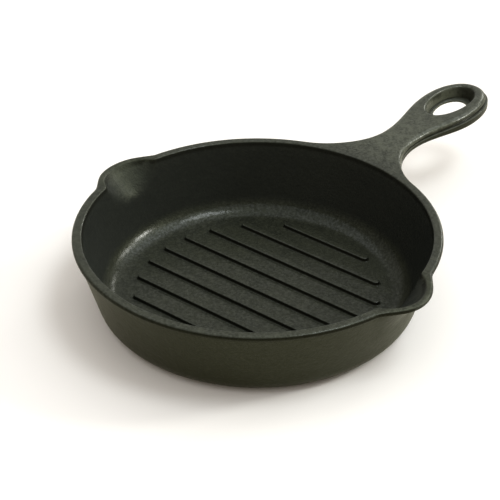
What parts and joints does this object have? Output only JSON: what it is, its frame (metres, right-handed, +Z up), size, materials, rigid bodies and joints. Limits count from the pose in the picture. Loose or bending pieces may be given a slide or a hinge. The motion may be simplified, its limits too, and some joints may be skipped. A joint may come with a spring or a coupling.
{
  "type": "grill pan",
  "caption": "Round cast-iron grill pan: flat base, flared wall, raised floor ribs, opposed pour spouts in a beaded rim, and a flat tapered handle with a long hanging hole.",
  "frame": {"origin": "centre of the flat base, on the surface that the pan stands on", "axes": "+Z up, +X out along the handle, +Y and -Y through the two pour spouts"},
  "size_m": [0.3228, 0.2208, 0.0467],
  "materials": {
    "seasoned_iron": "fine sand-cast grain, seasoned to a satin black with a slight brown-green tint"
  },
  "bodies": {
    "root": {"bowl": "seasoned_iron", "handle": "seasoned_iron", "rib_1": "seasoned_iron", "rib_2": "seasoned_iron", "rib_3": "seasoned_iron", "rib_4": "seasoned_iron", "rib_5": "seasoned_iron", "rib_6": "seasoned_iron", "rib_7": "seasoned_iron", "rib_8": "seasoned_iron", "rib_9": "seasoned_iron"}
  },
  "joints": []
}
